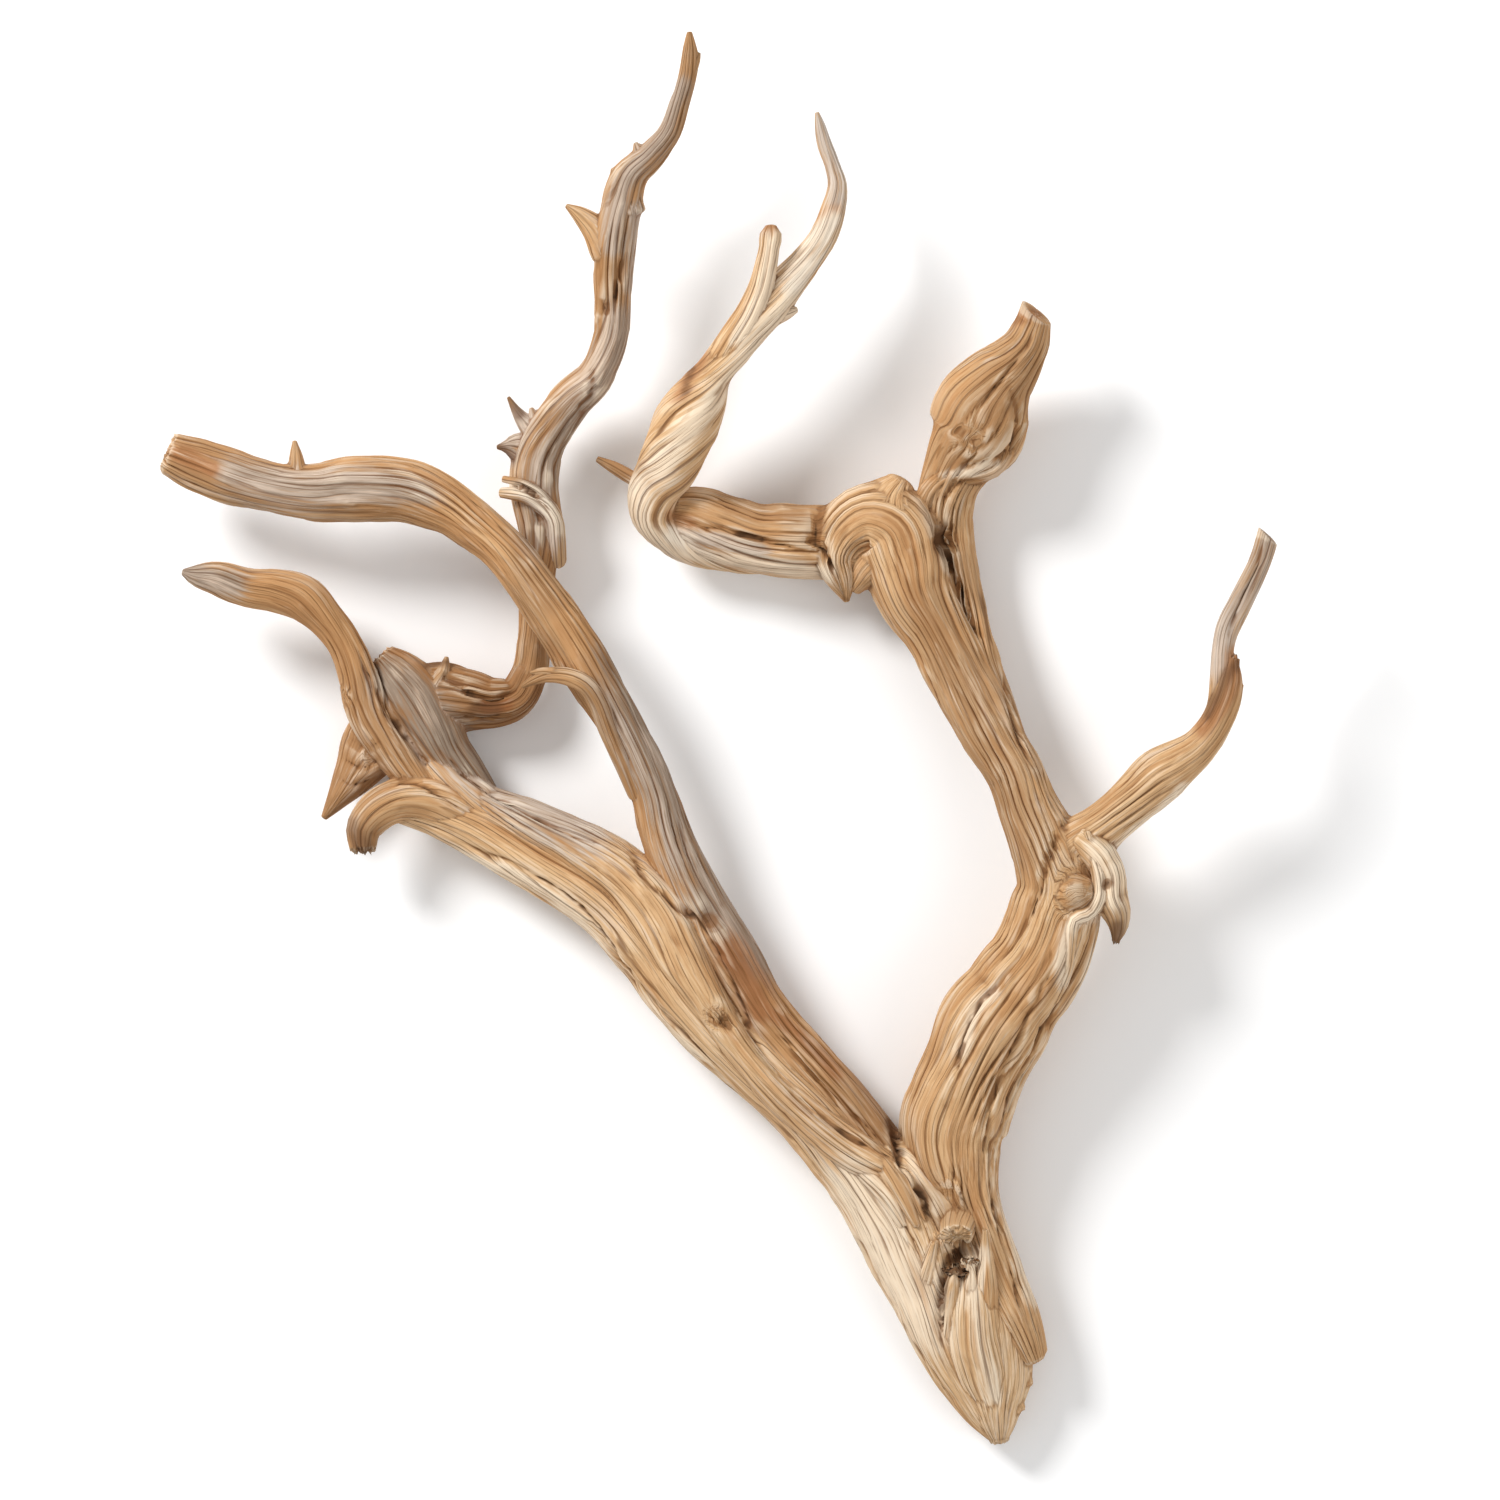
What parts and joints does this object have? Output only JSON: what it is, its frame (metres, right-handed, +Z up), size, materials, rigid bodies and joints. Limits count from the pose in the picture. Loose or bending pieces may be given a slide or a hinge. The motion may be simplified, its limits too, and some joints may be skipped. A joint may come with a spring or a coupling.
{
  "type": "driftwood branch",
  "caption": "Branching piece of weathered driftwood with a ragged butt, two trunks and bent, tapering bare limbs.",
  "frame": {"origin": "under the middle of the piece, on the surface that it rests on", "axes": "+Z up from the surface, +Y from the butt towards the thin tips, +X to the right"},
  "size_m": [0.4487, 0.5627, 0.0651],
  "materials": {
    "weathered_wood": "matte, sandblasted: raised pale grain, brown grooves, grey bleached faces"
  },
  "bodies": {
    "root": {"driftwood": "weathered_wood"}
  },
  "joints": []
}
